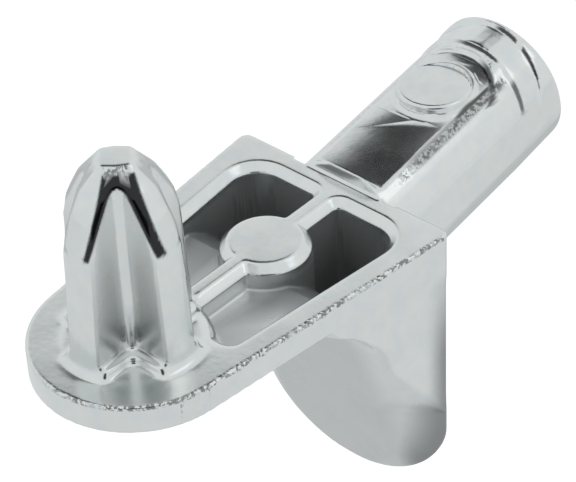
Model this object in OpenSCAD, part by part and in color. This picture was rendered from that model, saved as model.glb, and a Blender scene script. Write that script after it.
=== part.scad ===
// Shelf support pin: one zinc casting with a wall pin, a shelf plate, a fluted locating peg
// and a hollow bracket leg below. Millimetres. The wall plane is y = 0, +Y points into the
// wall, +Z up; the origin is where the pin axis crosses the wall plane.

/* [Plate] */
// Half width of the plate where its sides meet the wall plane
plate_half_w = 4.32; // [3.5:0.01:6]
// Angle of each side of the plate to the Y axis
plate_taper = 5.8; // [0:0.1:8]
// Wall plane to the centre of the round end
plate_reach = 9.65; // [8:0.05:14]
// Shelf surface above the pin axis at the wall plane
plate_top = 1.98; // [1.6:0.01:2.4]
// Plate thickness along its edge
plate_t = 1.0; // [0.8:0.05:1.8]
// Radius of the upright corners at the wall
corner_r = 0.3; // [0.2:0.05:1]
// Inset of the thicker middle of the underside from the plate edge
under_inset = 1.35; // [1:0.05:2]
// Extra thickness of the middle of the underside
under_t = 0.45; // [0.2:0.05:0.8]

/* [Pockets] */
// Flat rail between the plate edge and a pocket
rail_w = 0.75; // [0.5:0.01:1.2]
// Flat strip between the wall plane and a pocket
back_w = 0.66; // [0.5:0.01:1.2]
// Half width of the flat top of the middle rib
rib_half_w = 0.2; // [0.15:0.01:0.5]
// Width and depth of the slope round each pocket
slope_w = 0.28; // [0.15:0.01:0.4]
// Depth of the pocket floor beside the peg
floor_d = 0.85; // [0.5:0.05:1]
// Front end of a pocket behind the peg axis
pocket_gap = 1.35; // [1.2:0.05:2]
// Radius of the outer back corner of a pocket
pocket_r = 1.25; // [0.9:0.05:1.6]
// Radius of the back corner beside the rib
pocket_rib_r = 0.5; // [0.35:0.05:0.8]
// Wall left round the hollow of the leg
hollow_wall = 0.7; // [0.6:0.05:0.9]
// Depth of the deepest part of the hollow below the shelf surface
hollow_d = 4.2; // [2:0.1:4.5]
// Radius of the round pad in the rib
boss_r = 1.2; // [0.8:0.05:1.4]
// Wall plane to the centre of the round pad
boss_y = 3.85; // [3:0.05:5]

/* [Leg] */
// Lower end of the leg below the pin axis
leg_drop = 9.75; // [8:0.05:12]
// Thickness left at the lower edge of the leg
leg_end_t = 0.15; // [0.1:0.05:0.8]
// Radius of the hollow curve between plate and leg
leg_blend_r = 4.15; // [3.8:0.05:4.4]
// Wall plane to the centre of that curve
leg_blend_y = 6.7; // [6:0.05:8]
// Slope of the domed lower end to the wall plane
leg_dome = 34; // [25:1:45]
// Turn of the cut along each front edge of the leg
leg_cut_turn = 55.5; // [40:0.5:70]
// Lean of that cut
leg_cut_lean = 30.6; // [20:0.1:40]

/* [Peg] */
// Wall plane to the peg axis
peg_y = 9.78; // [8:0.01:14]
// Peg radius at the shelf surface
peg_r = 2.13; // [1.8:0.01:2.6]
// Peg height above the shelf surface
peg_h = 6.65; // [5:0.05:9]
// Height of the shoulder below which the peg is straight
peg_shoulder = 4.45; // [3:0.05:6]
// Radius at the shoulder
peg_shoulder_r = 1.93; // [1.5:0.01:2.2]
// Radius of the flat end
peg_tip_r = 0.62; // [0.3:0.01:1]
// Radius of the round foot of the peg in the plate
peg_foot_r = 0.33; // [0.1:0.01:0.5]
// Distance from the axis to the bottom of a flute at the shelf surface
flute_in = 1.04; // [0.8:0.01:1.4]
// Angle of each flute wall
flute_a = 46; // [30:1:50]
// Radius of the bottom of a flute
flute_r = 0.3; // [0.1:0.05:0.5]
// Foot of the flat facets beside each flute below the shoulder
facet_drop = 0.3; // [0.2:0.05:0.5]
// Turn of each facet away from its flute
facet_turn = 8; // [4:1:12]

/* [Wall pin] */
// Pin radius
pin_r = 2.48; // [2.4:0.01:2.48]
// Length along the pin axis
pin_l = 8.5; // [8:0.05:12]
// Rise of the pin from the level
pin_rise = 9.7; // [0:0.1:12]
// Width of the chamfer round the end
pin_end_c = 0.12; // [0.05:0.01:0.3]
// Height of the flat along the top above the pin axis
channel_z = 2.05; // [1.9:0.01:2.15]
// Start of the flat
channel_y = 0.45; // [0.3:0.05:0.45]
// Space between the pad and the rounded end of the flat
channel_gap = 0.7; // [0.6:0.01:0.8]
// Radius of the round level pad on the flat
pad_r = 1.25; // [0.8:0.01:1.3]
// Wall plane to the middle of the foot of the pad along the pin
pad_y = 4.94; // [3:0.01:5.2]
// Height of the pad over the middle of its foot
pad_h = 0.35; // [0.25:0.01:0.36]
// Width of the slope round the top of the pad
pad_edge = 0.07; // [0.05:0.01:0.12]
// Width of the sloped foot round the pad
pad_foot = 0.12; // [0.05:0.01:0.2]
// Wall plane to the first barb at the top of the pin
barb1_y = 7.14; // [7:0.01:7.4]
// Height of the first barb above the pin surface
barb1_h = 0.09; // [0.05:0.01:0.12]
// Lean of the step of the first barb
barb1_lean = 18; // [0:1:20]
// First barb to the second one at the top of the pin
barb_pitch = 1.12; // [0.8:0.01:1.2]
// Height of the second barb above the pin surface
barb2_h = 0.12; // [0.05:0.01:0.12]
// Lean of the step of the second barb
barb2_lean = 22; // [0:1:25]
// Lift of the axis of both barbs above the pin axis
barb_lift = 0.16; // [0.14:0.01:0.3]
// Radius of the relief round the root of the pin in the wall face
relief_r = 2.9; // [2.85:0.01:3.2]
// Depth of that relief
relief_d = 0.1; // [0.05:0.01:0.2]

/* [Display] */
// Piece to draw

/* [Hidden] */
$fn = 96;
e = 0.01;
tt = tan(plate_taper);
end_r = (plate_half_w - plate_reach * tt) * cos(plate_taper);
under_z = plate_top - plate_t;
facet_z = peg_shoulder - facet_drop;
floor_z = plate_top - floor_d;
blend_y = leg_blend_y;
blend_z = under_z - leg_blend_r;
leg_w = plate_half_w;
leg_z = leg_w - leg_drop;
to_c = [leg_end_t - blend_y, blend_z + leg_drop];
front_a = atan2(to_c[1], to_c[0]) - asin(leg_blend_r / norm(to_c));
front_l = sqrt(to_c * to_c - leg_blend_r * leg_blend_r);
front_p = [-leg_end_t, -leg_drop] + front_l * [cos(front_a), sin(front_a)];
shank_y = channel_y + 0.05;
shank_end = pad_y + 1.3;
tip_r = pin_r - 0.05;
barb2_y = barb1_y + barb_pitch;

// outline of the plate, drawn back by d on every side but the wall side
module outline(d = 0, back = 0, r = corner_r) {
    w = plate_half_w - d / cos(plate_taper);
    cx = w - (back + r) * tt - r / cos(plate_taper);
    er = end_r - d;
    sy = plate_reach + er * sin(plate_taper);
    ty = back + r + r * sin(plate_taper);
    ex = er * cos(plate_taper);
    tx = cx + r * cos(plate_taper);
    polygon([[-cx, -back], [-tx, -ty], [-ex, -sy], [ex, -sy], [tx, -ty], [cx, -back]]);
    translate([0, -plate_reach]) circle(er);
    for (s = [-1, 1]) translate([s * cx, -back - r]) circle(r);
}

function unit(v) = v / norm(v);
// points where a corner round of radius r leaves the sides of corner p, and its centre
function leave(p, q, r, h) = p + unit(q - p) * r / tan(h);
function half_angle(p, q, s) = acos(unit(q - p) * unit(s - p)) / 2;

// convex outline through points p with corner radii r
module rounded(p, r) {
    n = len(p);
    h = [for (i = [0:n - 1]) half_angle(p[i], p[(i + n - 1) % n], p[(i + 1) % n])];
    polygon([for (i = [0:n - 1]) each [leave(p[i], p[(i + n - 1) % n], r[i], h[i]),
                                       leave(p[i], p[(i + 1) % n], r[i], h[i])]]);
    for (i = [0:n - 1]) {
        m = unit(unit(p[(i + n - 1) % n] - p[i]) + unit(p[(i + 1) % n] - p[i]));
        translate(p[i] + m * r[i] / sin(h[i])) circle(r[i]);
    }
}

// one pocket seen from above, made smaller by d
module pocket_plan(d = 0) {
    w = plate_half_w - (rail_w + d) / cos(plate_taper);
    x0 = rib_half_w + d;
    yb = back_w + d;
    yf = peg_y - pocket_gap - d;
    rounded([[x0, -yb], [w - yb * tt, -yb], [w - yf * tt, -yf], [x0, -yf]],
            [pocket_rib_r - d, pocket_r - d, pocket_rib_r - d, pocket_rib_r - d]);
}

// side view of what the pockets take away: shallow by the peg, deep by the wall
module hollow_side() {
    difference() {
        union() {
            translate([-peg_y, floor_z]) square([peg_y, floor_d + 1]);
            translate([-boss_y - 2, plate_top - hollow_d]) square([boss_y + 2, hollow_d]);
        }
        difference() {
            translate([-blend_y, blend_z]) circle(leg_blend_r + hollow_wall);
            translate([-peg_y - 5, floor_z]) square([peg_y + 5, 10]);
        }
        translate([-peg_y, blend_z - 10]) square([peg_y - blend_y + e, 10 + floor_z - blend_z]);
    }
}

module pocket() {
    intersection() {
        translate([0, 0, plate_top - hollow_d - 1]) linear_extrude(hollow_d + 2)
            pocket_plan(slope_w);
        rotate([90, 0, 90]) linear_extrude(plate_half_w) hollow_side();
    }
    hull() {
        translate([0, 0, plate_top]) linear_extrude(e) pocket_plan(0, $fn = 32);
        translate([0, 0, plate_top - slope_w]) linear_extrude(e) pocket_plan(slope_w, $fn = 32);
    }
}

// bar with sloped edges along the middle of the plate
module rib() {
    translate([0, -e, 0]) rotate([90, 0, 0]) linear_extrude(peg_y)
        polygon([[-rib_half_w, plate_top], [rib_half_w, plate_top],
                 [rib_half_w + slope_w, plate_top - slope_w],
                 [rib_half_w + slope_w, under_z - 1.5], [-rib_half_w - slope_w, under_z - 1.5],
                 [-rib_half_w - slope_w, plate_top - slope_w]]);
}

// round post with a sloped top edge
module post(r, drop) {
    rotate_extrude() polygon([[0, -drop], [r + slope_w, -drop], [r + slope_w, -slope_w],
                              [r, 0], [0, 0]]);
}

// side view of the leg: hollow curve under the plate, then straight down to the wall
module leg_side() {
    difference() {
        polygon([[0, -leg_drop], [-leg_end_t, -leg_drop], front_p, [-blend_y, blend_z],
                 [-blend_y, under_z + e], [0, under_z + e]]);
        translate([-blend_y, blend_z]) circle(leg_blend_r);
    }
}

module leg() {
    intersection() {
        translate([0, 0, -leg_drop]) linear_extrude(leg_drop + under_z + e) outline();
        rotate([90, 0, 90]) linear_extrude(2 * leg_w, center = true) leg_side();
        union() {
            // upper length with a sloping cut along each front edge
            difference() {
                translate([-leg_w, -blend_y, leg_z])
                    cube([2 * leg_w, blend_y, under_z - leg_z + e]);
                for (s = [0, 1]) mirror([s, 0, 0])
                    translate([leg_w, 0, leg_z]) rotate([0, leg_cut_lean, -leg_cut_turn])
                        translate([leg_end_t * sin(leg_cut_turn), -12, -12]) cube(24);
            }
            // domed lower end
            translate([0, 0, leg_z]) rotate([90, 0, 0]) rotate_extrude()
                polygon([[0, 0], [leg_w, 0], [leg_w, leg_end_t],
                         [0, leg_end_t + leg_w * tan(leg_dome)]]);
        }
    }
}

module plate() {
    difference() {
        union() {
            translate([0, 0, under_z]) linear_extrude(plate_t) outline();
            translate([0, 0, under_z - under_t]) linear_extrude(under_t + e)
                outline(under_inset, 0.5, 0.5);
            leg();
        }
        for (s = [0, 1]) mirror([s, 0, 0]) pocket();
        // relief round the root of the pin
        translate([0, 1, 0]) rotate([90, 0, 0]) cylinder(r = relief_r, h = 1 + relief_d);
    }
    intersection() {
        union() {
            rib();
            translate([0, -boss_y, plate_top]) post(boss_r, 3.2);
            translate([0, -peg_y, plate_top]) post(peg_r + 0.1, plate_t);
        }
        union() {
            translate([0, 0, under_z]) linear_extrude(plate_t) outline();
            translate([0, 0, under_z - under_t]) linear_extrude(under_t + e)
                outline(under_inset, 0.5, 0.5);
            leg();
        }
    }
}

// section of one flute cutter, opening towards +X; flat = distance of its bottom from the axis
module flute_cut(flat, a, r) {
    v = flat - r * (1 / cos(a) - 1);
    c = flat + r;
    difference() {
        polygon([[v, 0], [v + 3, 3 / tan(a)], [v + 3, -3 / tan(a)]]);
        polygon([[v - 1, -2], [c - r * cos(a), -2], [c - r * cos(a), 2], [v - 1, 2]]);
    }
    translate([c, 0]) circle(r);
}

module peg() {
    lean = atan(0.02);
    difference() {
        union() {
            rotate_extrude() polygon([[0, -0.5], [peg_r, -0.5], [peg_r, 0],
                [peg_shoulder_r, peg_shoulder], [peg_shoulder_r - 0.31, peg_shoulder + 0.8],
                [peg_shoulder_r - 0.7, peg_shoulder + 1.48], [peg_tip_r + 0.16, peg_h - 0.2],
                [peg_tip_r, peg_h], [0, peg_h]]);
        }
        for (k = [0:3]) rotate([0, 0, 45 + 90 * k]) {
            rotate([0, -lean, 0]) linear_extrude(peg_h + 2) flute_cut(flute_in, 90 - flute_a, flute_r);
            // facets along both edges of the flute, from below the shoulder to the flat end
            for (m = [0, 1]) mirror([0, m, 0]) rotate([0, 0, -facet_turn]) rotate([90, 0, 0])
                translate([0, 0, -0.5]) linear_extrude(peg_r + 1)
                    polygon([[peg_r + 1, facet_z], [peg_shoulder_r - 0.13, facet_z],
                             [peg_shoulder_r - 0.27, peg_shoulder + 0.4],
                             [peg_shoulder_r - 0.73, peg_shoulder + 1.45],
                             [peg_tip_r - 0.12, peg_h + e], [peg_r + 1, peg_h + e]]);
        }
    }
    // rounded foot that follows the flutes
    difference() {
        rotate_extrude() difference() {
            translate([0, -e]) square([peg_r + peg_foot_r, peg_foot_r + e]);
            translate([peg_r + peg_foot_r, peg_foot_r]) circle(peg_foot_r);
        }
        for (k = [0:3]) rotate([0, 0, 45 + 90 * k]) translate([0, 0, -0.5])
            linear_extrude(2) flute_cut(flute_in + peg_foot_r, 90 - flute_a, flute_r);
    }
}

// pin about its own axis, which runs along +Y here; its last length is a little conical
module pin() {
    difference() {
        union() {
            rotate([-90, 0, 0]) rotate([0, 0, -90]) rotate_extrude()
                polygon([[0, -1.2], [pin_r + 0.02, -1.2], [pin_r, shank_y], [pin_r, shank_end],
                         [tip_r, pin_l - pin_end_c], [tip_r - pin_end_c, pin_l], [0, pin_l]]);
            barb(barb1_y, barb1_h, barb1_lean, barb2_y + 0.2, 0.1);
            barb(barb2_y, barb2_h, barb2_lean, pin_l, 0.02);
        }
        // flat along the top; its rounded end and the pad stand upright on the leaning pin
        translate([-pin_r, channel_y, channel_z]) cube([2 * pin_r, pad_y - channel_y, pin_r]);
        intersection() {
            translate([-pin_r, pad_y - 0.1, channel_z]) cube([2 * pin_r, pin_r, pin_r]);
            on_pad() translate([0, 0, -1]) cylinder(r = pad_r + channel_gap, h = 3);
        }
    }
    on_pad() rotate_extrude() polygon([[0, -1], [pad_r, -1], [pad_r, pad_h - pad_edge],
                                       [pad_r - pad_edge, pad_h], [0, pad_h]]);
    translate([0, pad_y, channel_z]) rotate_extrude()
        polygon([[0, -0.05], [pad_r + pad_foot + 0.05, -0.05], [pad_r - 0.02, pad_foot + 0.02],
                 [0, pad_foot + 0.02]]);
}

module on_pad() {
    translate([0, pad_y, channel_z]) rotate([-pin_rise, 0, 0]) children();
}

// barb on the top half: a leaning step towards the plate at y, then narrower by fall up to y_end
module barb(y, h, lean, y_end, fall) {
    r = pin_r + h - barb_lift;
    intersection() {
        translate([0, 0, barb_lift]) rotate([-90, 0, 0]) rotate([0, 0, -90]) rotate_extrude()
            polygon([[0, y - 1.5], [r + 0.01, y - 1.5], [r, y], [r - fall, y_end - pin_end_c],
                     [r - fall - pin_end_c, y_end], [0, y_end]]);
        translate([-4, y, pin_r + h]) rotate([-lean, 0, 0]) translate([0, 0, -3.6]) cube([8, 4, 5]);
    }
}

module body() {
    color([0.80, 0.82, 0.82]) union() {
        plate();
        translate([0, -peg_y, plate_top]) peg();
        intersection() {
            rotate([pin_rise, 0, 0]) pin();
            union() {
                translate([-5, -relief_d - 0.02, plate_top]) rotate([-15, 0, 0])
                    translate([0, 0, -10]) cube([10, 20, 20]);
                translate([-5, -back_w, -5]) cube([10, 10, 5 + plate_top - slope_w]);
            }
        }
    }
}

body();
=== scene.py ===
"""Dresses the cast shelf support pin and sets up its studio."""

import math

import bpy
from bpy.props import (
    FloatProperty,
    FloatVectorProperty,
    IntProperty,
    PointerProperty,
)
from mathutils import Matrix, Vector


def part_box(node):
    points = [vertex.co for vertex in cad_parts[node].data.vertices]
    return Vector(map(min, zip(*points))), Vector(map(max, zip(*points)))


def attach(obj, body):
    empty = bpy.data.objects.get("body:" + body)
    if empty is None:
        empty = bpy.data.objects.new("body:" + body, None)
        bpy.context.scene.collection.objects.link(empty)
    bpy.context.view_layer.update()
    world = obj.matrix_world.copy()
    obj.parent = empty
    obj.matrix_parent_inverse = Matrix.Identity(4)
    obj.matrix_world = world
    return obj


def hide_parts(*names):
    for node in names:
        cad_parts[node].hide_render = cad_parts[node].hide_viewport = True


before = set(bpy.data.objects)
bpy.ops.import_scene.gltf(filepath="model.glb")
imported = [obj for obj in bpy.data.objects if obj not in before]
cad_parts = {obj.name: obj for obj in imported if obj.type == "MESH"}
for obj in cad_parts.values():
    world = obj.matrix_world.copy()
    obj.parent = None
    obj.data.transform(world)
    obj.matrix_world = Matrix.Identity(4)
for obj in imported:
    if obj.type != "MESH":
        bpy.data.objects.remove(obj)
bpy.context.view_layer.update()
MM = 0.001

bl_info = {
    "name": "Shelf support pin",
    "version": (1, 0, 0),
    "blender": (4, 5, 0),
    "location": "View3D > Sidebar > Shelf pin",
    "description": "Finishes the plated casting of a shelf support pin and lights it",
    "category": "Object",
}


# ---------------------------------------------------------------- settings


class CastingSettings(bpy.types.PropertyGroup):
    """Sizes and colours of the plated casting."""

    grain: FloatProperty(
        name="Surface step",
        description="Distance between the points of the finished skin",
        default=0.05 * MM,
        min=0.03 * MM,
        max=0.2 * MM,
        subtype="DISTANCE",
        unit="LENGTH",
        precision=6,
    )
    soften: IntProperty(
        name="Edge softening",
        description="Smoothing passes that round the cast edges",
        default=6,
        min=0,
        max=40,
    )
    faces: IntProperty(
        name="Triangles",
        description="Most triangles in the finished skin",
        default=190000,
        min=20000,
        max=199000,
    )
    ease: IntProperty(
        name="Leg easing",
        description="Extra smoothing passes over the ridges and rear edges of the leg",
        default=160,
        min=0,
        max=400,
    )
    crown: FloatProperty(
        name="Crown of the flat",
        description="Rise of the middle of the flat on the wall pin above its edges",
        default=0.18 * MM,
        min=0.0,
        max=0.3 * MM,
        subtype="DISTANCE",
        unit="LENGTH",
        precision=6,
    )
    plating: FloatVectorProperty(
        name="Plating",
        description="Colour of the bright plating",
        default=(0.79, 0.815, 0.815),
        size=3,
        min=0.0,
        max=1.0,
        subtype="COLOR",
    )
    # painted shade: the dark colour put deep in the pockets
    recess_shade: FloatVectorProperty(
        name="Recess",
        description="Colour of the thin plating deep in the pockets",
        default=(0.29, 0.3, 0.3),
        size=3,
        min=0.0,
        max=1.0,
        subtype="COLOR",
    )
    # pocket floors: duller plating, with painted shade in its darker colour
    dull_and_shaded: FloatVectorProperty(
        name="Pocket floor",
        description="Colour of the dull plating on the pocket floors",
        default=(0.7, 0.715, 0.715),
        size=3,
        min=0.0,
        max=1.0,
        subtype="COLOR",
    )


class StudioSettings(bpy.types.PropertyGroup):
    """Camera, light and floor."""

    lens: FloatProperty(
        name="Lens",
        description="Focal length of the camera",
        default=160.87,
        unit="CAMERA",
    )
    floor_drop: FloatProperty(
        name="Floor below the part",
        description="Distance from the lowest point of the part to the floor",
        default=45 * MM,
        subtype="DISTANCE",
        unit="LENGTH",
    )
    sky: FloatProperty(
        name="Tent brightness",
        description="Brightness of the white light tent",
        default=0.88,
        min=0.0,
        max=2.0,
        subtype="FACTOR",
    )


# ---------------------------------------------------------------- node helpers


def add(tree, kind, **values):
    """New node with its attributes set."""
    node = tree.nodes.new(kind)
    for name, value in values.items():
        setattr(node, name, value)
    return node


def feed(tree, node, **inputs):
    """Links or sets inputs given by name, with _ for a space."""
    for name, value in inputs.items():
        socket = node.inputs[name.replace("_", " ")]
        if isinstance(value, bpy.types.NodeSocket):
            tree.links.new(value, socket)
        else:
            socket.default_value = value
    return node


def calc(tree, operation, a, b=0.0, c=0.0):
    """Math node with up to three numbers or sockets; returns its output."""
    node = add(tree, "ShaderNodeMath", operation=operation)
    for socket, value in zip(node.inputs, (a, b, c)):
        if isinstance(value, bpy.types.NodeSocket):
            tree.links.new(value, socket)
        else:
            socket.default_value = value
    return node.outputs[0]


def product(tree, first, *others):
    """Numbers or sockets multiplied together."""
    for other in others:
        first = calc(tree, "MULTIPLY", first, other)
    return first


def add_split(tree, vector):
    """The three parts of a vector."""
    node = add(tree, "ShaderNodeSeparateXYZ")
    tree.links.new(vector, node.inputs[0])
    return node.outputs


def span(tree, value, low, high, to_low=0.0, to_high=1.0):
    """Smooth step of value between two limits."""
    node = add(tree, "ShaderNodeMapRange", interpolation_type="SMOOTHSTEP", clamp=True)
    tree.links.new(value, node.inputs[0])
    for socket, number in zip(node.inputs[1:5], (low, high, to_low, to_high)):
        socket.default_value = number
    return node.outputs[0]


def fade(tree, value, places, levels=(0.0, 1.0)):
    """Smooth step of value from one level to another between two places in mm."""
    return span(tree, value, places[0] * MM, places[1] * MM, *levels)


def blend_color(tree, factor, a, b):
    """Mix of two colours or colour sockets."""
    node = add(tree, "ShaderNodeMix", data_type="RGBA")
    sockets = (node.inputs[0], node.inputs[6], node.inputs[7])
    for socket, value in zip(sockets, (factor, a, b)):
        if isinstance(value, bpy.types.NodeSocket):
            tree.links.new(value, socket)
        elif isinstance(value, float):
            socket.default_value = value
        else:
            socket.default_value = (*value, 1.0)
    return node.outputs[2]


def blend_shader(tree, factor, a, b):
    """Mix of the outputs of two shader nodes."""
    node = add(tree, "ShaderNodeMixShader")
    tree.links.new(factor, node.inputs[0])
    tree.links.new(a.outputs[0], node.inputs[1])
    tree.links.new(b.outputs[0], node.inputs[2])
    return node


def grain_noise(tree, where, scale, detail, rough):
    """Noise on the piece's own coordinates, scale in waves per millimetre."""
    node = add(tree, "ShaderNodeTexNoise")
    feed(tree, node, Vector=where, Scale=scale / MM, Detail=detail, Roughness=rough)
    return node.outputs["Fac"]


def bump(tree, height, strength, depth, under=None):
    """Normals bent by a height that is depth mm at its most, over another bump."""
    node = add(tree, "ShaderNodeBump")
    feed(tree, node, Strength=strength, Distance=depth * MM, Height=height)
    if under is not None:
        tree.links.new(under, node.inputs["Normal"])
    return node.outputs[0]


def clear_tree(owner):
    """Empty node tree of a material or world."""
    owner.use_nodes = True
    owner.node_tree.nodes.clear()
    return owner.node_tree


# ---------------------------------------------------------------- sizes of the casting

# in mm from the place where the axis of the wall pin crosses the wall: top of the plate, half
# its width there and the taper, middle and radius of its round end
PLATE_TOP = 1.98
PLATE_HALF, PLATE_TAPER = 4.32, math.radians(5.8)
PLATE_REACH, PLATE_END = 9.65, 3.323

# axis of the peg in front of the wall, and a circle round its ridges
PEG_PLACE, PEG_RADIUS = 9.78, 2.2

# painted dark reflection along the edges of a flute: the heights above the plate that it lies
# between, for its outer and inner edge the distance from the middle of the flute at a height
# and the slope, the arch that closes it, and how much wider it is along one edge of the front
# flute
BAND_LOW, BAND_HIGH, BAND_SOFT = 4.1, 6.56, 0.03
OUTER_EDGE, OUTER_HEIGHT, OUTER_SLOPE = 1.15, 4.15, 0.326
INNER_EDGE, INNER_HEIGHT, INNER_SLOPE = 0.935, 4.27, 0.40
ARCH_START, ARCH_TOP, ARCH_WIDTH = 5.9, 6.15, 0.28
BAND_WIDER = 0.13

# wall pin, measured along its axis from the wall and up from its axis
PIN_RADIUS, PIN_RISE = 2.48, math.radians(9.7)
FLAT_HEIGHT, FLAT_HALF, FLAT_START, FLAT_END = 2.05, 1.4, 0.45, 6.9
PAD_MIDDLE, PAD_RADIUS = 4.94, 1.25
INNER_BARB, BARB_TOP, BARB_LEAN = 7.14, 2.57, math.radians(18)
BETWEEN_BARBS, LINE_GAP = 7.8, 1.12

# painted shade lines beside the pad, and its rough edge: radius of the ring round it, and
# distances from the middle of the flat
RING_RADIUS, CHANNEL_SIDE, FLASH_SIDE, BAND_SIDE = 1.9, 1.36, 1.5, 1.53

# pockets of the plate and the hollow that runs down into the leg, which is round the curve
# under the plate
POCKET_FAR, POCKET_NEAR = -8.5, -0.75
POCKET_INSET, POCKET_FLOOR = 0.85, 1.05
HOLLOW_LOW, POCKET_RIM = -2.4, 1.72
HOLLOW_Y, HOLLOW_Z, HOLLOW_RADIUS = -6.7, -3.17, 4.5
OUTER_WALL = 2.3

# height where the leaning cuts of the leg meet its domed end
LEG_CREASE = -5.43


# ---------------------------------------------------------------- plated metal

# fades of the painted shade and dark reflections in mm: the places where each begins and ends
LEG_TOP_FADE = (0.0, 0.7)
WALL_FACE_FADE = (-0.05, -0.02)
LEG_FRONT_FADE = (2.2, 3.7)
LEG_REAR_FADE = (-1.25, -0.2)
LEG_SIDE_FADE = (1.8, 3.2)
LEG_HEIGHT_FADE = (-3.0, 0.4)
FLUTE_DEPTH_FADE = (0.08, 0.18)
FLUTE_SIDE_FADE = (0.2, 0.55)
FLUTE_TOP_FADE = (4.0, 7.0)
FLUTE_RIDGE_FADE = (3.0, 3.4)
FLUTE_FOOT_FADE = (2.2, 2.7)
FALLING = (1.0, 0.0)

# the walls of a flute lean by this slope off its middle and meet this far out, in mm
FLUTE_SLOPE, FLUTE_BOTTOM = 0.966, 1.27

# waves for each mm of the noises in the plating
BROAD_WAVES, PATCH_WAVES, FINE_WAVES, SPECK_WAVES = 0.55, 1.8, 5.0, 8.5

# tints that stay as they are when the colours of the settings change
WARM_TINT, COOL_TINT = (0.83, 0.83, 0.80), (0.75, 0.79, 0.80)
# colours of the painted dark glints on rough edges and of the painted shade lines
DARK_GLINT_TINT, SHADE_LINE_TINT = (0.14, 0.15, 0.15), (0.04, 0.042, 0.042)

# share of the plating's colour left in its clouds, and of the pocket floor's in the painted
# shade on the leg and flute walls
CLOUD_SHARE, SHADE_SHARE = 0.95, 0.47

# roughness over the clouds, and what the pocket floors, the places of painted shade and the
# fine noise add to it
ROUGHNESS, DULL_ROUGHNESS, FINE_ROUGHNESS = (0.16, 0.2), 0.2, 0.04

# strength of each bump and its depth in mm, and what dull plating adds to the pits
WAVE_BUMP, PIT_BUMP, FLASH_BUMP = (0.15, 0.03), (0.2, 0.01), (0.7, 0.05)
DULL_PITS = 0.25


def leg_and_flute_shade(tree, where):
    """Painted shade and dark reflections by place: edges of the leg, flute walls of the peg."""
    x, y, z = add_split(tree, where)
    wide = calc(tree, "ABSOLUTE", x)
    front = fade(tree, wide, LEG_FRONT_FADE, (0.3, 0.0))
    rear = product(
        tree,
        fade(tree, y, LEG_REAR_FADE),
        fade(tree, x, LEG_SIDE_FADE),
        fade(tree, z, LEG_HEIGHT_FADE, (1.0, 0.3)),
    )
    leg = product(
        tree,
        fade(tree, z, LEG_TOP_FADE, FALLING),
        fade(tree, y, WALL_FACE_FADE, FALLING),
        calc(tree, "MAXIMUM", front, rear),
    )

    across = calc(tree, "ABSOLUTE", calc(tree, "ADD", y, PEG_PLACE * MM))
    side = calc(tree, "ABSOLUTE", calc(tree, "SUBTRACT", wide, across))
    out = calc(tree, "ADD", wide, across)
    off_wall = calc(tree, "SUBTRACT", out, calc(tree, "MULTIPLY", side, FLUTE_SLOPE))
    off_wall = calc(tree, "ABSOLUTE", calc(tree, "SUBTRACT", off_wall, FLUTE_BOTTOM * MM))
    wall = product(
        tree,
        fade(tree, off_wall, FLUTE_DEPTH_FADE, FALLING),
        fade(tree, side, FLUTE_SIDE_FADE, (0.03, 0.42)),
        fade(tree, z, FLUTE_TOP_FADE, FALLING),
        fade(tree, out, FLUTE_RIDGE_FADE, FALLING),
        fade(tree, z, FLUTE_FOOT_FADE),
    )
    return calc(tree, "MAXIMUM", leg, wall)


def darker(color, share):
    """Share of a colour."""
    return tuple(c * share for c in color)


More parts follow.
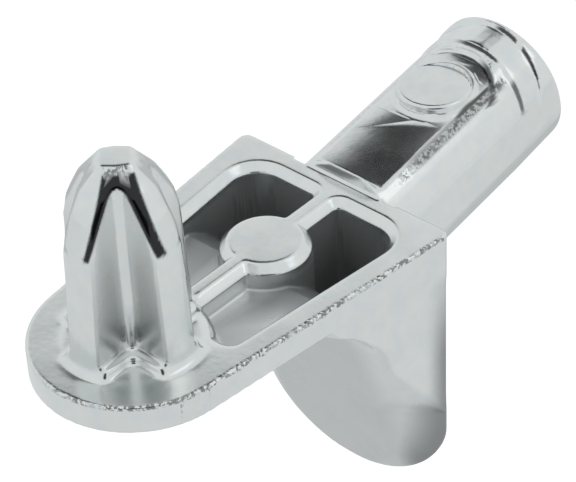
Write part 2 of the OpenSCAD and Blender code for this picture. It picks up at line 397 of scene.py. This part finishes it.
def plated_metal(settings):
    """Bright plating over a slightly uneven casting, dull in the pockets, with painted shade in
    the pockets, on the leg and along the flutes, barbs and flat, and painted dark glints on
    rough edges.
    """
    mat = bpy.data.materials.new("plated_casting")
    tree = clear_tree(mat)
    where = add(tree, "ShaderNodeTexCoord").outputs["Object"]
    deep, dull_and_shaded, facet, flash = (
        add(tree, "ShaderNodeAttribute", attribute_name=name).outputs["Fac"]
        for name in ("deep", "dull_and_shaded", "facet", "flash")
    )
    # thin: painted shade and dark reflections on the leg and the flute walls
    thin = leg_and_flute_shade(tree, where)
    broad = grain_noise(tree, where, BROAD_WAVES, 3.0, 0.55)
    patches = grain_noise(tree, where, PATCH_WAVES, 3.0, 0.6)
    fine = grain_noise(tree, where, FINE_WAVES, 3.0, 0.6)
    specks = grain_noise(tree, where, SPECK_WAVES, 1.0, 0.5)

    clouds = span(tree, broad, 0.35, 0.68)
    tint = blend_color(
        tree, clouds, tuple(settings.plating), darker(settings.plating, CLOUD_SHARE)
    )
    mottling = blend_color(tree, span(tree, patches, 0.35, 0.65), COOL_TINT, WARM_TINT)
    tint = blend_color(tree, 0.5, tint, mottling)
    # painted shade and dark reflections on the leg and the flute walls, put into the colour
    tint = blend_color(tree, thin, tint, darker(settings.dull_and_shaded, SHADE_SHARE))
    # pocket floors: duller plating, their colour darkened as painted shade
    tint = blend_color(tree, dull_and_shaded, tint, tuple(settings.dull_and_shaded))
    # dark specks on the rough edges: painted dark glints
    flash = product(tree, flash, span(tree, patches, 0.36, 0.56, 0.35, 1.0))
    dark_glints = product(tree, flash, span(tree, specks, 0.45, 0.54))
    tint = blend_color(tree, dark_glints, tint, DARK_GLINT_TINT)
    # painted shade deep in the pockets and on their outer walls
    tint = blend_color(tree, deep, tint, tuple(settings.recess_shade))
    # painted shade lines and painted dark reflections: flutes, barbs and flat
    tint = blend_color(tree, facet, tint, SHADE_LINE_TINT)

    # rougher in the pockets and where the painted shade lies
    rough_in_shade = product(tree, calc(tree, "MAXIMUM", dull_and_shaded, thin), DULL_ROUGHNESS)
    rough = calc(tree, "ADD", span(tree, broad, 0.3, 0.7, *ROUGHNESS), rough_in_shade)
    rough = calc(tree, "ADD", rough, product(tree, fine, FINE_ROUGHNESS))

    waves = bump(tree, broad, *WAVE_BUMP)
    pitted = calc(tree, "MULTIPLY_ADD", dull_and_shaded, DULL_PITS, PIT_BUMP[0])
    pits = bump(tree, fine, pitted, PIT_BUMP[1], waves)
    ragged = bump(tree, specks, product(tree, flash, FLASH_BUMP[0]), FLASH_BUMP[1], pits)

    metal = add(tree, "ShaderNodeBsdfPrincipled")
    feed(
        tree,
        metal,
        Base_Color=tint,
        # less metallic where the painted shade deep in the pockets lies
        Metallic=calc(tree, "MULTIPLY_ADD", deep, -0.5, 1.0),
        Roughness=rough,
        Normal=ragged,
    )
    out = add(tree, "ShaderNodeOutputMaterial")
    tree.links.new(metal.outputs[0], out.inputs["Surface"])
    return mat


# ---------------------------------------------------------------- casting


def fade_out(value, full, gone):
    """1 at full and before it, 0 at gone and beyond, smooth between."""
    t = min(max((value - full) / (gone - full), 0.0), 1.0)
    return 1 - t * t * (3 - 2 * t)


def on_pin(p):
    """Place along the wall pin, and height above its axis, of a point in mm."""
    c, s = math.cos(PIN_RISE), math.sin(PIN_RISE)
    return p.y * c + p.z * s, p.z * c - p.y * s


def leg_ease(p):
    """Hold of the extra smoothing on a point in mm: foot of the peg, edges of the leg."""
    wide = abs(p.x)
    if p.z > 1.5:
        far = math.hypot(p.x, p.y + PEG_PLACE)
        foot = 0.2 * fade_out(p.z, 2.45, 2.7)
        return foot * fade_out(far, 2.5, 2.8) * fade_out(far, 1.0, 0.8)
    if p.z > 0.4:
        return 0.0
    ridge = fade_out(p.y, -1.1, -0.5) * fade_out(p.z, -1.6, -0.4)
    rear = 0.4 * fade_out(p.y, -0.6, -1.0) * fade_out(wide, 3.7, 3.3)
    rear *= fade_out(p.z, 0.0, 0.4) * fade_out(p.z, -4.6, -5.6)
    crease = fade_out(abs(p.z - LEG_CREASE), 0.5, 1.1) * fade_out(p.y, -0.5, -0.2)
    crease *= fade_out(wide, 1.5, 0.5) * fade_out(wide, 3.8, 4.15)
    return max(ridge, rear, crease)


def edge_gap(p):
    """Distance in mm of a point from the outline of the plate, inwards."""
    if p.y < -PLATE_REACH:
        return PLATE_END - math.hypot(p.x, p.y + PLATE_REACH)
    side = PLATE_HALF + p.y * math.tan(PLATE_TAPER) - abs(p.x)
    return side * math.cos(PLATE_TAPER)


def in_pockets(p):
    """1 in the pockets and the hollow of the leg below their sloped rims, else 0."""
    if not POCKET_FAR <= p.y <= POCKET_NEAR or not HOLLOW_LOW < p.z < POCKET_RIM:
        return 0.0
    if edge_gap(p) < POCKET_INSET:
        return 0.0
    if p.y < HOLLOW_Y:
        outside = p.z < POCKET_FLOOR
    else:
        outside = math.hypot(p.y - HOLLOW_Y, p.z - HOLLOW_Z) < HOLLOW_RADIUS
    return 0.0 if outside else fade_out(p.z, POCKET_RIM - 0.12, POCKET_RIM)


def deep_mask(p):
    """Painted shade: the lower part of the pockets towards the wall, and their outer walls."""
    reach = fade_out(p.y, -4.3, -5.5)
    if abs(p.x) > OUTER_WALL and p.z > 1.22:
        reach = 1.0
    return in_pockets(p) * fade_out(p.z, 1.3, 1.65) * reach


def facet_mask(p):
    """Painted dark reflection along both edges of each flute, fainter on all but the front one.
    """
    z = p.z - PLATE_TOP
    x, y = abs(p.x), abs(p.y + PEG_PLACE)
    if not BAND_LOW < z < BAND_HIGH or math.hypot(x, y) > PEG_RADIUS:
        return 0.0
    front = p.x > 0 and p.y < -PEG_PLACE
    side = abs(x - y) / math.sqrt(2)
    outer = OUTER_EDGE - OUTER_SLOPE * (z - OUTER_HEIGHT)
    outer += BAND_WIDER if front and x > y else 0.0
    inner = INNER_EDGE - INNER_SLOPE * (z - INNER_HEIGHT)
    if z > ARCH_TOP:
        inner = -1.0
    elif z > ARCH_START:
        inner = ARCH_WIDTH * math.sqrt((ARCH_TOP - z) / (ARCH_TOP - ARCH_START))
    hold = fade_out(side, outer - BAND_SOFT, outer + BAND_SOFT)
    hold *= 1 - fade_out(side, inner - BAND_SOFT, inner + BAND_SOFT)
    if not front:
        hold *= 0.3
    return hold * fade_out(z, 4.22, 4.12) * fade_out(z, 6.44, 6.5)


def barb_step_shade(p, normal):
    """Painted shade lines at the faces of the barbs towards the plate."""
    along, height = on_pin(p)
    if along < 6.4 or height < 0.3 or math.hypot(p.x, height) < PIN_RADIUS - 0.02:
        return 0.0
    back = normal.y * math.cos(PIN_RISE) + normal.z * math.sin(PIN_RISE)
    step = 0.95 * fade_out(back, -0.5, -0.3)
    if along > BETWEEN_BARBS:
        gap = fade_out(abs(p.x - LINE_GAP), 0.09, 0.17)
        return step * fade_out(p.x, 0.3, 0.0) * (1 - gap)
    if p.x > 1.5:
        line = INNER_BARB - (BARB_TOP - height) * math.tan(BARB_LEAN)
        reach = fade_out(p.x, 1.8, 1.6) * fade_out(p.x, 2.2, 2.35)
        return 0.8 * reach * fade_out(abs(along - line), 0.05, 0.11)
    return step * fade_out(p.x, -0.2, -0.9) * fade_out(p.x, 0.95, 1.1)


def flat_edge_shade(p):
    """Painted shade: dark line along the near edge and rounded end of the flat, and a faint
    band beside it.
    """
    along, height = on_pin(p)
    if not 1.4 < along < 7.2 or not 1.75 < height < 2.5 or p.x < 0:
        return 0.0
    off_ring = abs(math.hypot(p.x, along - PAD_MIDDLE) - RING_RADIUS)
    ring = fade_out(off_ring, 0.05, 0.16)
    ring *= fade_out(along, 5.4, 5.0) * fade_out(p.x, 0.9, 0.3)
    edge = fade_out(abs(p.x - CHANNEL_SIDE), 0.03, 0.1) * fade_out(along, 6.0, 6.4)
    start = fade_out(along, 2.4, 1.5)
    edge *= max(fade_out(along, 4.6, 4.0), 0.5 * start)
    band = fade_out(abs(p.x - BAND_SIDE), 0.08, 0.17) * start * fade_out(along, 6.4, 6.8)
    return max(0.9 * ring, 0.9 * edge, 0.5 * band)


def painted_shade_lines(p, normal):
    """All painted shade lines and painted dark reflections, darkened to black."""
    return max(facet_mask(p), barb_step_shade(p, normal), flat_edge_shade(p))


def flash_mask(p):
    """Rough edges, bumped, with painted dark glints in their specks: the flat on the wall pin,
    the rim of the plate, the end of the peg.
    """
    along, height = on_pin(p)
    if 1.2 < along < 6.75 and height > 1.5 and p.y > 0.3:
        share = 0.8 if p.x > 0 else 0.25
        return share * fade_out(abs(abs(p.x) - FLASH_SIDE), 0.06, 0.16)
    if 1.84 < p.z < 2.0 and p.y < -0.3:
        return 0.8 * fade_out(edge_gap(p), 0.07, 0.13) * fade_out(p.x, 0.5, -1.5)
    x, y = abs(p.x), abs(p.y + PEG_PLACE)
    front = p.x > 0 and p.y < -PEG_PLACE
    if front and 6.43 < p.z - PLATE_TOP < 6.64 and math.hypot(x, y) > 0.5:
        return fade_out(abs(x - y), 0.4, 0.55)
    return 0.0


def weigh(skin, name, rule, turned=False):
    """Stores rule(point in mm), or rule(point, normal), for every point of the skin."""
    layer = skin.attributes.new(name, "FLOAT", "POINT")
    if turned:
        values = [rule(v.co / MM, v.normal) for v in skin.vertices]
    else:
        values = [rule(v.co / MM) for v in skin.vertices]
    layer.data.foreach_set("value", values)


def applied(mesh, dress):
    """Mesh with the modifiers that dress(object) adds worked in."""
    work = bpy.data.objects.new("skin_work", mesh)
    bpy.context.scene.collection.objects.link(work)
    dress(work)
    graph = bpy.context.evaluated_depsgraph_get()
    made = bpy.data.meshes.new_from_object(work.evaluated_get(graph))
    bpy.data.objects.remove(work)
    return made


def smooth_by(work, name, rounds, group=""):
    """Smoothing passes, over a vertex group when one is named."""
    smooth = work.modifiers.new(name, "SMOOTH")
    smooth.factor = 0.5
    smooth.iterations = rounds
    smooth.vertex_group = group


def skin_of(node, settings):
    """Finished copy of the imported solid: even skin with softly rounded edges."""
    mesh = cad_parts[node].data.copy()
    mesh.transform(Matrix.Scale(1 / MM, 4))

    def even_out(work):
        weld = work.modifiers.new("weld", "WELD")
        weld.merge_threshold = 0.0005
        remesh = work.modifiers.new("skin", "REMESH")
        remesh.mode = "VOXEL"
        remesh.voxel_size = settings.grain / MM * 1.0
        remesh.use_smooth_shade = True
        smooth_by(work, "soften", settings.soften)

    even = applied(mesh, even_out)

    def ease_and_thin(work):
        group = work.vertex_groups.new(name="ease")
        for v in work.data.vertices:
            weight = leg_ease(v.co)
            if weight > 0.01:
                group.add([v.index], weight, "REPLACE")
        smooth_by(work, "ease", settings.ease, "ease")
        count = sum(len(p.vertices) - 2 for p in work.data.polygons)
        if count > settings.faces:
            thin = work.modifiers.new("thin", "DECIMATE")
            thin.ratio = settings.faces / count

    skin = applied(even, ease_and_thin)
    crown_flat(skin, settings.crown / MM)
    skin.transform(Matrix.Scale(MM, 4))
    for face in skin.polygons:
        face.use_smooth = True
    return skin


def crown_flat(skin, rise):
    """Crowns the flat along the top of the wall pin by rise, all in mm."""
    up = Vector((0, -math.sin(PIN_RISE), math.cos(PIN_RISE)))
    for v in skin.vertices:
        along, height = on_pin(v.co)
        if abs(v.co.x) > FLAT_HALF or not FLAT_START < along < FLAT_END + 0.1:
            continue
        if not FLAT_HEIGHT - 0.08 < height < FLAT_HEIGHT + 0.3:
            continue
        if math.hypot(v.co.x, along - PAD_MIDDLE) < PAD_RADIUS - 0.02:
            continue
        hold = fade_out(height, FLAT_HEIGHT + 0.05, FLAT_HEIGHT + 0.3)
        v.co += up * rise * hold * (1 - (v.co.x / FLAT_HALF) ** 2)


class SHELFPIN_OT_casting(bpy.types.Operator):
    """Make the finished, plated casting"""

    bl_idname = "shelf_pin.casting"
    bl_label = "Casting"

    def execute(self, context):
        settings = context.scene.shelf_pin_casting
        skin = skin_of("body", settings)

        # painted shade in the pockets and on their floors, and painted shade lines and dark
        # reflections
        weigh(skin, "deep", deep_mask)
        weigh(skin, "dull_and_shaded", in_pockets)
        weigh(skin, "facet", painted_shade_lines, turned=True)
        weigh(skin, "flash", flash_mask)
        piece = bpy.data.objects.new("plated_body", skin)
        context.scene.collection.objects.link(piece)
        skin.materials.clear()
        skin.materials.append(plated_metal(settings))
        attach(piece, "root")
        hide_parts("body")
        return {"FINISHED"}


# ---------------------------------------------------------------- studio

# direction from the part to the camera, and how the camera is turned about it
AZIMUTH, ELEVATION, ROLL = 43.056, 38.285, 2.815
CAMERA = Vector((43.451, -49.327, 51.500)) * MM
SENSOR = 36.0
NEAREST, FARTHEST = 0.001, 10.0

# the tent, with a dark opening low on the camera's side and one in the ceiling:
# direction, degrees where it is full and gone, tint
TENT_TINT = (0.90, 0.925, 0.93)
LOW_OPENING = (12, 17, 28, (0.03, 0.032, 0.032))
TOP_OPENING = (Vector((-0.43, 0.32, 0.84)), 14, 16, (0.02, 0.022, 0.022))

# the floor: metres to its edge, tint, its glow for the camera, and in mm the middle of each
# patch that the metal mirrors with the distances where its brightness changes
FLOOR_HALF = 1.5
FLOOR_TINT, FLOOR_GLOW = (0.62, 0.63, 0.63), 0.6
UNDER_PATCH = (-6, -10, (22, 52), (0.2, 0.29))
REAR_PATCH = (-6, 64, (18, 36), (0.3, 1.0))

# place and width in mm of the key light, and its power in watts
KEY_PLACE, KEY_WIDTH, KEY_POWER = (84, 51, 114), 62, 0.004


def aim(azimuth, elevation):
    """Unit vector from the part towards a viewer at these angles."""
    a, e = math.radians(azimuth), math.radians(elevation)
    return Vector((math.sin(a) * math.cos(e), -math.cos(a) * math.cos(e), math.sin(e)))


def camera(settings):
    """Long lens at the height and side that shows peg, pockets and wall pin."""
    data = bpy.data.cameras.new("camera")
    data.lens = settings.lens
    data.sensor_width = SENSOR
    data.clip_start, data.clip_end = NEAREST, FARTHEST
    obj = bpy.data.objects.new("camera", data)
    bpy.context.scene.collection.objects.link(obj)
    back = aim(AZIMUTH, ELEVATION)
    right = Vector((-back.y, back.x, 0)).normalized()
    up = back.cross(right)
    c, s = math.cos(math.radians(ROLL)), math.sin(math.radians(ROLL))
    pose = Matrix((right * c - up * s, right * s + up * c, back)).transposed().to_4x4()
    pose.translation = CAMERA
    obj.matrix_world = pose
    bpy.context.scene.camera = obj


def tent(settings):
    """White light tent with soft dark openings, white where the camera looks past the part."""
    world = bpy.data.worlds.new("tent")
    tree = clear_tree(world)
    way = add(tree, "ShaderNodeTexCoord").outputs["Generated"]

    def zone(direction, full, gone):
        """1 within full degrees of the direction, 0 beyond gone."""
        node = add(tree, "ShaderNodeVectorMath", operation="DOT_PRODUCT")
        tree.links.new(way, node.inputs[0])
        node.inputs[1].default_value = direction.normalized()
        limits = math.cos(math.radians(gone)), math.cos(math.radians(full))
        return span(tree, node.outputs["Value"], *limits)

    height, full, gone, tint = LOW_OPENING
    shade = blend_color(tree, zone(aim(AZIMUTH, height), full, gone), TENT_TINT, tint)
    direction, full, gone, tint = TOP_OPENING
    shade = blend_color(tree, zone(direction, full, gone), shade, tint)
    glow = add(tree, "ShaderNodeBackground")
    feed(tree, glow, Color=shade, Strength=settings.sky)
    plain = add(tree, "ShaderNodeBackground")
    feed(tree, plain, Color=(1, 1, 1, 1), Strength=1.0)
    seen = add(tree, "ShaderNodeLightPath").outputs["Is Camera Ray"]
    out = add(tree, "ShaderNodeOutputWorld")
    tree.links.new(blend_shader(tree, seen, glow, plain).outputs[0], out.inputs["Surface"])
    bpy.context.scene.world = world


def white_floor(level):
    """Material of the floor: pale, with its own glow, clear from below; level in metres."""
    mat = bpy.data.materials.new("white_floor")
    tree = clear_tree(mat)
    card = add(tree, "ShaderNodeBsdfDiffuse")
    feed(tree, card, Color=(*FLOOR_TINT, 1))
    rays = add(tree, "ShaderNodeLightPath").outputs
    place = add(tree, "ShaderNodeTexCoord").outputs["Object"]

    def patch(x, y, reach, levels):
        """Brightness by distance on the floor from a place in mm."""
        node = add(tree, "ShaderNodeVectorMath", operation="DISTANCE")
        tree.links.new(place, node.inputs[0])
        node.inputs[1].default_value = Vector((x, y, level / MM)) * MM
        return fade(tree, node.outputs["Value"], reach, levels)

    under, rear = patch(*UNDER_PATCH), patch(*REAR_PATCH)
    mirrored = calc(
        tree, "MULTIPLY", rays["Is Glossy Ray"], calc(tree, "MULTIPLY", under, rear)
    )
    glow = add(tree, "ShaderNodeEmission")
    shine = calc(tree, "MULTIPLY_ADD", rays["Is Camera Ray"], FLOOR_GLOW, mirrored)
    feed(tree, glow, Color=(1, 1, 1, 1), Strength=shine)
    both = add(tree, "ShaderNodeAddShader")
    tree.links.new(card.outputs[0], both.inputs[0])
    tree.links.new(glow.outputs[0], both.inputs[1])
    clear = add(tree, "ShaderNodeBsdfTransparent")
    back = add(tree, "ShaderNodeNewGeometry").outputs["Backfacing"]
    out = add(tree, "ShaderNodeOutputMaterial")
    tree.links.new(blend_shader(tree, back, both, clear).outputs[0], out.inputs["Surface"])
    return mat


def floor(settings):
    """Pale floor under the part, seen from above only."""
    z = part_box("body")[0][2] - settings.floor_drop
    half = FLOOR_HALF
    corners = [(-half, -half, z), (half, -half, z), (half, half, z), (-half, half, z)]
    mesh = bpy.data.meshes.new("floor")
    mesh.from_pydata(corners, [], [(0, 1, 2, 3)])
    obj = bpy.data.objects.new("floor", mesh)
    bpy.context.scene.collection.objects.link(obj)
    mesh.materials.append(white_floor(z))


def softbox(name, where, size, power):
    """Square area light aimed at the part; place and size in mm."""
    data = bpy.data.lights.new(name, "AREA")
    data.shape = "SQUARE"
    data.size = size * MM
    data.energy = power
    obj = bpy.data.objects.new(name, data)
    bpy.context.scene.collection.objects.link(obj)
    place = Vector(where) * MM
    pose = place.to_track_quat("Z", "Y").to_matrix().to_4x4()
    pose.translation = place
    obj.matrix_world = pose


class SHELFPIN_OT_stage(bpy.types.Operator):
    """Set up the camera, the light tent, the lamps and the floor"""

    bl_idname = "shelf_pin.stage"
    bl_label = "Studio"

    def execute(self, context):
        settings = context.scene.shelf_pin_studio
        camera(settings)
        tent(settings)
        floor(settings)
        softbox("key", KEY_PLACE, KEY_WIDTH, KEY_POWER)
        context.scene.view_settings.view_transform = "Standard"
        return {"FINISHED"}


# ---------------------------------------------------------------- add-on


class SHELFPIN_PT_panel(bpy.types.Panel):
    """Sizes, colours and makers of the shelf support pin"""

    bl_label = "Shelf support pin"
    bl_idname = "SHELFPIN_PT_panel"
    bl_space_type = "VIEW_3D"
    bl_region_type = "UI"
    bl_category = "Shelf pin"

    def draw(self, context):
        casting = context.scene.shelf_pin_casting
        studio = context.scene.shelf_pin_studio
        column = self.layout.column()
        for name in ("grain", "soften", "ease", "crown", "faces", "plating", "recess_shade", "dull_and_shaded"):
            column.prop(casting, name)
        column.operator("shelf_pin.casting")
        for name in ("lens", "floor_drop", "sky"):
            column.prop(studio, name)
        column.operator("shelf_pin.stage")


CLASSES = (
    CastingSettings,
    StudioSettings,
    SHELFPIN_OT_casting,
    SHELFPIN_OT_stage,
    SHELFPIN_PT_panel,
)


def register():
    for item in CLASSES:
        bpy.utils.register_class(item)
    bpy.types.Scene.shelf_pin_casting = PointerProperty(type=CastingSettings)
    bpy.types.Scene.shelf_pin_studio = PointerProperty(type=StudioSettings)


def unregister():
    del bpy.types.Scene.shelf_pin_studio
    del bpy.types.Scene.shelf_pin_casting
    for item in reversed(CLASSES):
        bpy.utils.unregister_class(item)


def main():
    register()
    bpy.ops.shelf_pin.casting()
    bpy.ops.shelf_pin.stage()


if __name__ == "__main__":
    main()
